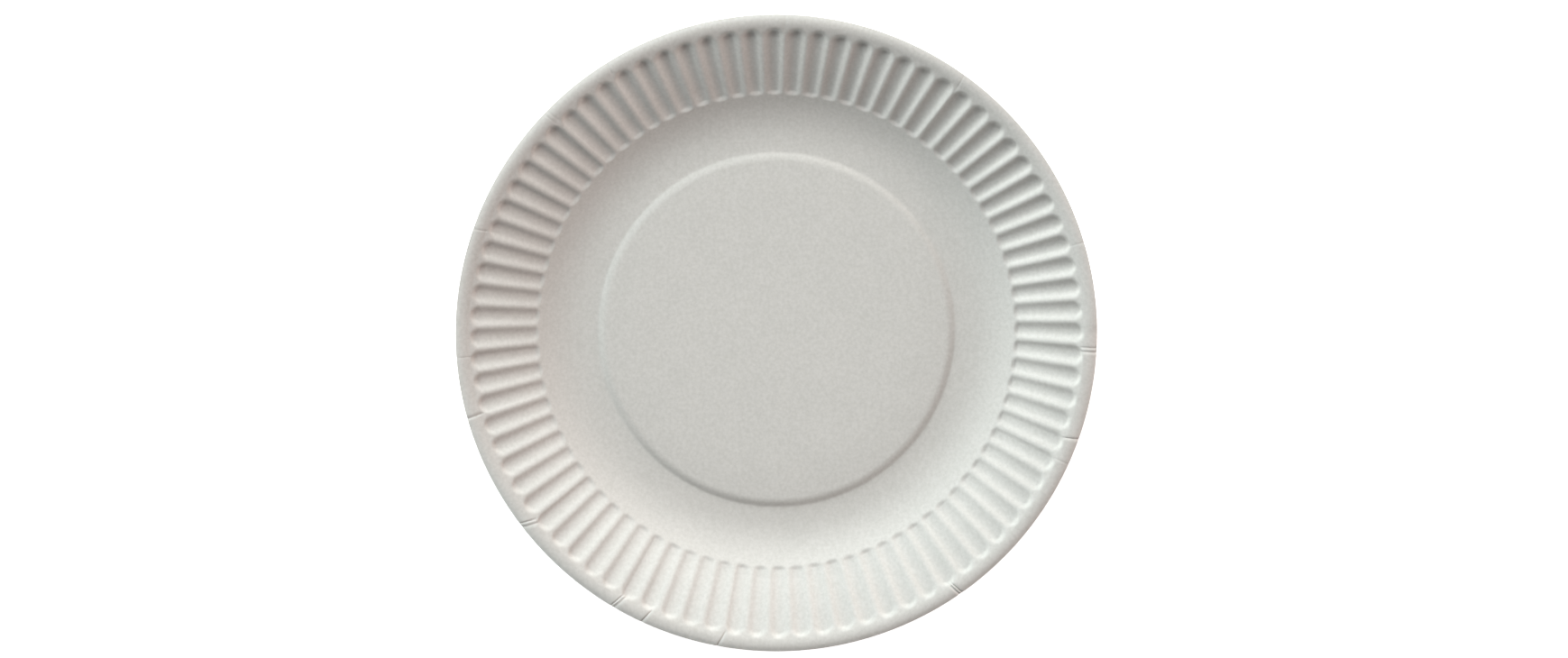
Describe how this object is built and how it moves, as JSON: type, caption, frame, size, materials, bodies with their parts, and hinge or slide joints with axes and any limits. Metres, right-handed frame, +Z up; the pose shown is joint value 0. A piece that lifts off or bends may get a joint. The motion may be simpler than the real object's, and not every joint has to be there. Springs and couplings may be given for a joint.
{
  "type": "paper plate",
  "caption": "Round disposable paper plate with a raised flat centre, a curved cove, a sloping wall pressed into radial flutes and a turned-down rim.",
  "frame": {"origin": "on the plate's axis, at the height of the surface that its foot ring rests on", "axes": "+Z up out of the dish, along the plate's axis; X and Y lie in the plane of the foot, and +X runs along the middle of a flute"},
  "size_m": [0.23, 0.23, 0.0178],
  "materials": {
    "paperboard": "uncoated, matt"
  },
  "bodies": {
    "root": {"paper_plate": "paperboard"}
  },
  "joints": []
}
